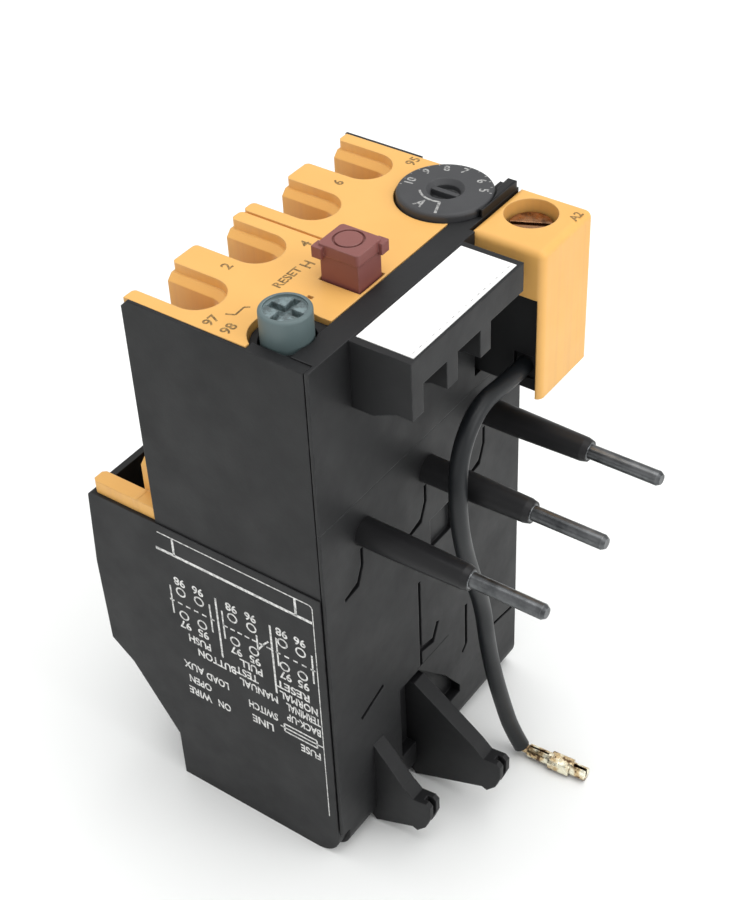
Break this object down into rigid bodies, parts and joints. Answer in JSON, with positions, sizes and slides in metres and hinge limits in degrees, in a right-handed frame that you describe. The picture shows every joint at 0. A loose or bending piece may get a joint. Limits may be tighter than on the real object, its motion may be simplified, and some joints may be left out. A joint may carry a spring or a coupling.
{
  "type": "thermal overload relay",
  "caption": "Compact thermal overload relay with load pins, hooks, setting dial, reset and test buttons, screw terminals and a coil lead.",
  "frame": {"origin": "middle of the flat back face", "axes": "+Z from the back to the front with the buttons, +X along the load pins, +Y across the poles, away from the printed side cover"},
  "size_m": [0.0656, 0.0457, 0.0903],
  "materials": {
    "black_moulding": "moulded, fine grain",
    "yellow_moulding": "moulded, smooth",
    "blue_button": "moulded, satin",
    "red_button": "moulded, satin",
    "black_dial": "moulded, satin, light figures",
    "blank_label": "matt card",
    "pin_steel": "plated",
    "sleeve_black": "insulating sleeve",
    "copper": "copper strip",
    "bimetal": "rolled strip",
    "heater_wire": "wound resistance strip",
    "clamp_steel": "zinc plated",
    "slide_plastic": "natural moulded",
    "lever_plastic": "moulded",
    "contact_brass": "spring brass",
    "spring_steel": "music wire",
    "wire_jacket": "flexible insulation",
    "ferrule_brass": "crimped"
  },
  "bodies": {
    "housing": {"aux_terminal_95": "copper", "aux_terminal_96": "copper", "aux_terminal_97": "copper", "aux_terminal_98": "copper", "aux_terminal_screws": "clamp_steel", "bimetal_1": "bimetal", "bimetal_2": "bimetal", "bimetal_3": "bimetal", "coil_clamp": "clamp_steel", "coil_screw": "clamp_steel", "coil_terminal_block": "yellow_moulding", "coil_wire": "wire_jacket", "front_cover": "yellow_moulding", "heater_1": "heater_wire", "heater_2": "heater_wire", "heater_3": "heater_wire", "label_carrier": "black_moulding", "label_plate": "blank_label", "load_pin_1": "pin_steel", "load_pin_2": "pin_steel", "load_pin_3": "pin_steel", "main_clamp_1": "clamp_steel", "main_clamp_2": "clamp_steel", "main_clamp_3": "clamp_steel", "main_terminal_cover": "yellow_moulding", "main_terminal_screws": "clamp_steel", "mechanism_case": "black_moulding", "mechanism_side_cover": "black_moulding", "mounting_hook_1": "black_moulding", "mounting_hook_2": "black_moulding", "pin_sleeve_1": "sleeve_black", "pin_sleeve_2": "sleeve_black", "pin_sleeve_3": "sleeve_black", "pin_strip_1": "copper", "pin_strip_2": "copper", "pin_strip_3": "copper", "power_housing": "black_moulding", "power_side_cover": "black_moulding", "reset_spring": "spring_steel", "terminal_bar_1": "copper", "terminal_bar_2": "copper", "terminal_bar_3": "copper", "test_spring": "spring_steel", "trip_pivot_pin": "pin_steel", "wire_ferrule": "ferrule_brass"},
    "plunger": {"reset_plunger": "slide_plastic"},
    "reset_knob": {"reset_button": "blue_button"},
    "test_button": {"test_button": "red_button"},
    "dial": {"setting_dial": "black_dial", "setting_cam": "contact_brass"},
    "trip_slide": {"trip_slide": "slide_plastic"},
    "differential_slide": {"differential_slide": "slide_plastic"},
    "trip_lever": {"trip_lever": "lever_plastic"},
    "contact_carrier": {"contact_carrier": "lever_plastic", "nc_bridge": "contact_brass", "no_bridge": "contact_brass"}
  },
  "joints": [
    {"name": "reset_press", "type": "slide", "parent": "housing", "child": "plunger", "axis": [0, 0, -1], "range_m": [0, 0.002], "stiffness_N_per_m": 300, "springref_m": -0.003, "deforming": ["reset_spring"]},
    {"name": "reset_turn", "type": "hinge", "parent": "plunger", "child": "reset_knob", "pos_m": [0.0078, -0.0175, 0.0888], "axis": [0, 0, 1], "range_deg": [0, 90]},
    {"name": "test_move", "type": "slide", "parent": "housing", "child": "test_button", "axis": [0, 0, 1], "range_m": [-0.0015, 0.0015], "stiffness_N_per_m": 500, "deforming": ["test_spring"]},
    {"name": "dial_turn", "type": "hinge", "parent": "housing", "child": "dial", "pos_m": [0.0069, 0.0161, 0.0853], "axis": [0, 0, 1], "range_deg": [-135, 135]},
    {"name": "trip_travel", "type": "slide", "parent": "housing", "child": "trip_slide", "axis": [0, 1, 0], "range_m": [0, 0.002], "stiffness_N_per_m": 200, "springref_m": -0.001},
    {"name": "differential_travel", "type": "slide", "parent": "housing", "child": "differential_slide", "axis": [0, 1, 0], "range_m": [0, 0.002]},
    {"name": "lever_swing", "type": "hinge", "parent": "housing", "child": "trip_lever", "pos_m": [0.006, -0.007, 0.0602], "axis": [1, 0, 0], "range_deg": [0, 13.5]},
    {"name": "contact_lift", "type": "slide", "parent": "housing", "child": "contact_carrier", "axis": [0, 0, 1], "range_m": [0, 0.0012]}
  ],
  "couplings": [
    {"joint": "differential_travel", "follows": "trip_travel", "ratio": 1},
    {"joint": "lever_swing", "follows": "trip_travel", "rad_per_m": 116.28},
    {"joint": "contact_lift", "follows": "trip_travel", "ratio": 0.6}
  ]
}
